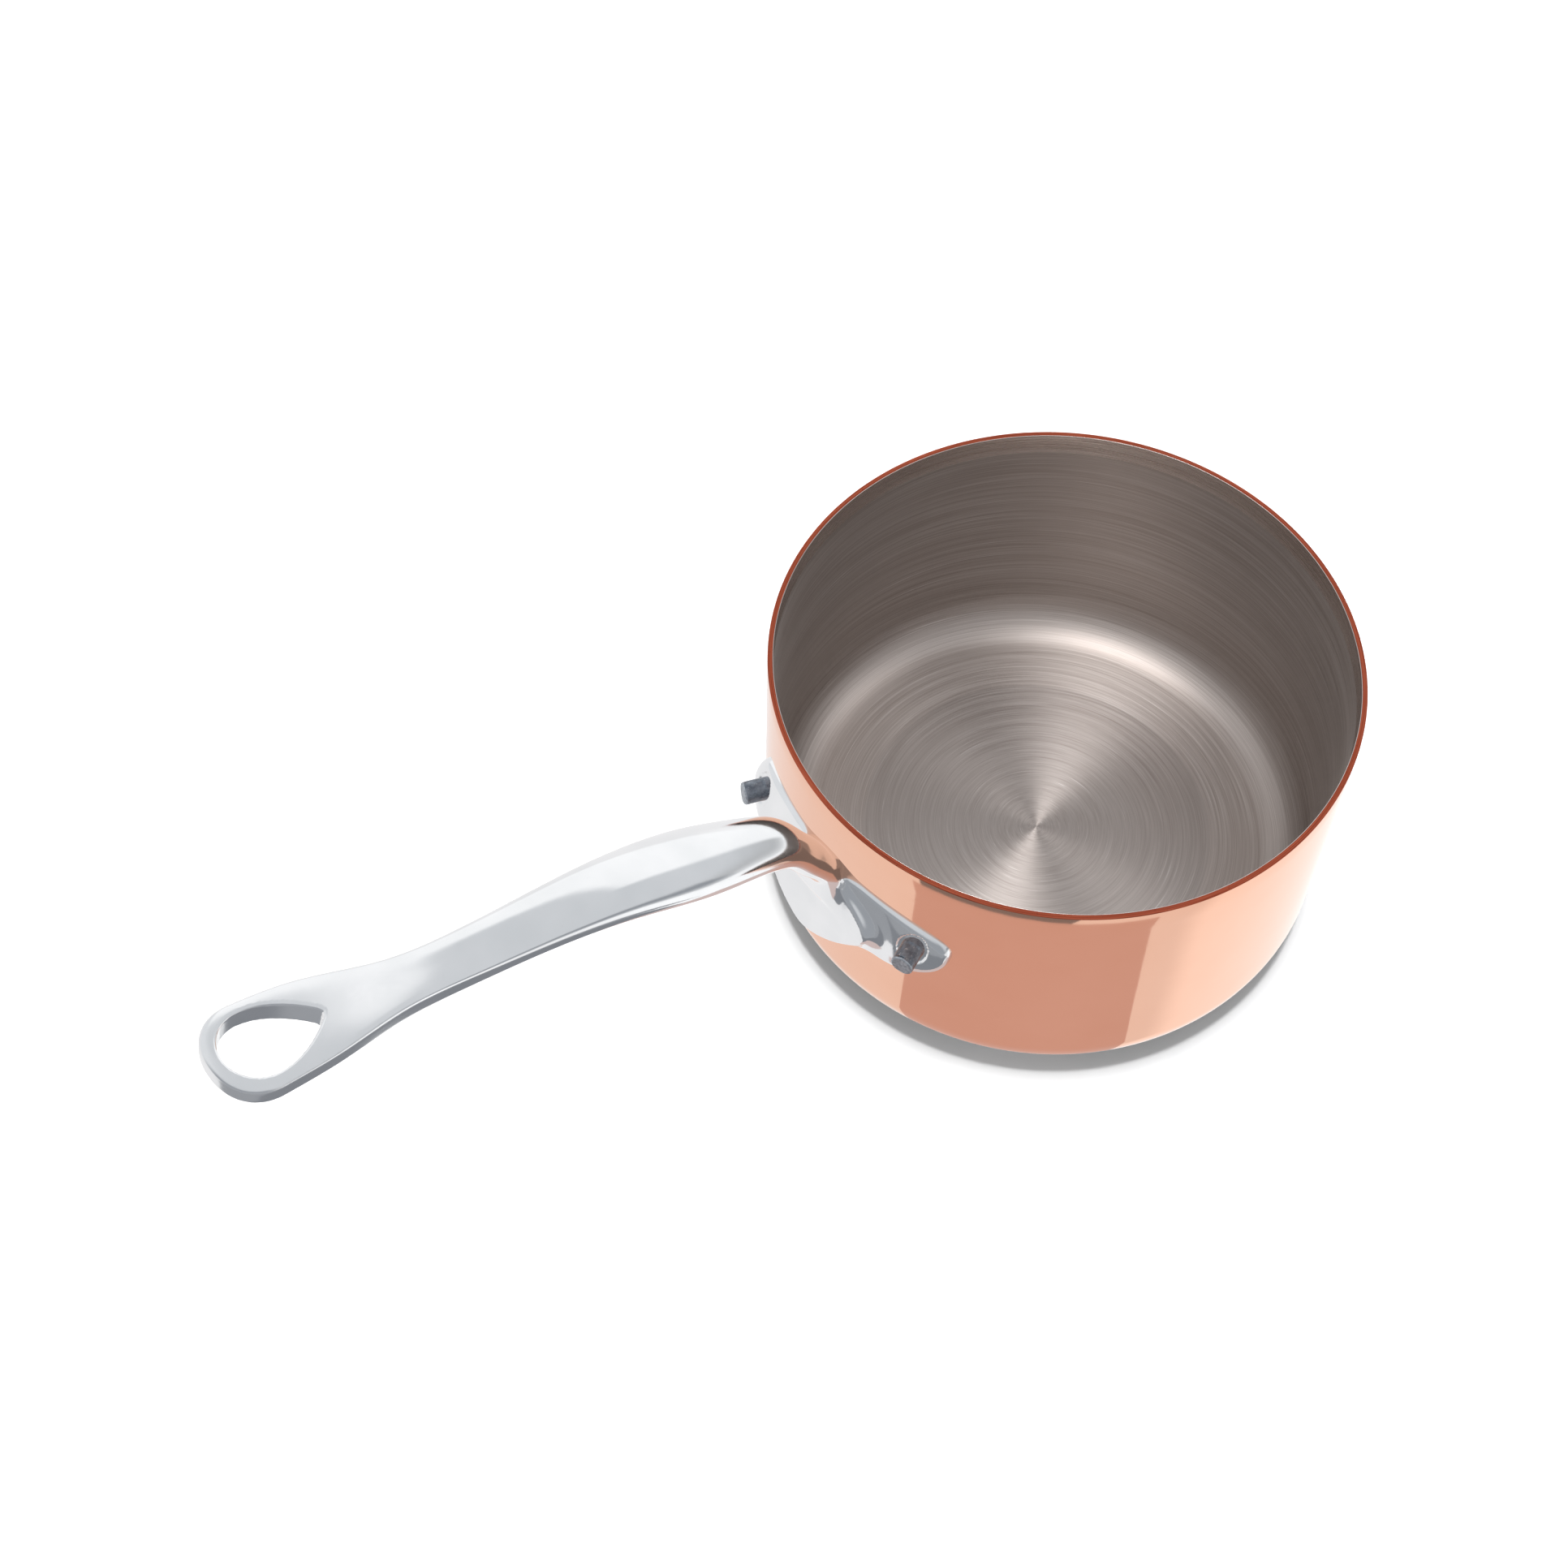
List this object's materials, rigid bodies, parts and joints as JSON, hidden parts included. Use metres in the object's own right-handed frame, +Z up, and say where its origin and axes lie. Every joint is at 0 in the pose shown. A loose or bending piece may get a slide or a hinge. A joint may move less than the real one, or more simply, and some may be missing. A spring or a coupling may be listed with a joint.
{
  "type": "saucepan",
  "caption": "Straight-sided copper saucepan with a steel lining and a long cast steel handle ending in a drop-shaped hanging loop.",
  "frame": {"origin": "centre of the underside of the base, on the pan's axis", "axes": "+Z up along the pan's axis; the handle points along -X"},
  "size_m": [0.3325, 0.16, 0.1514],
  "materials": {
    "copper": "polished copper, with a ground rim",
    "lining_steel": "stainless steel brushed round the pan",
    "cast_steel": "cast stainless steel, polished, with a satin loop",
    "rivet_steel": "dull stainless steel"
  },
  "bodies": {
    "root": {"copper_shell": "copper", "steel_lining": "lining_steel", "handle": "cast_steel", "rivet_left": "rivet_steel", "rivet_right": "rivet_steel"}
  },
  "joints": []
}
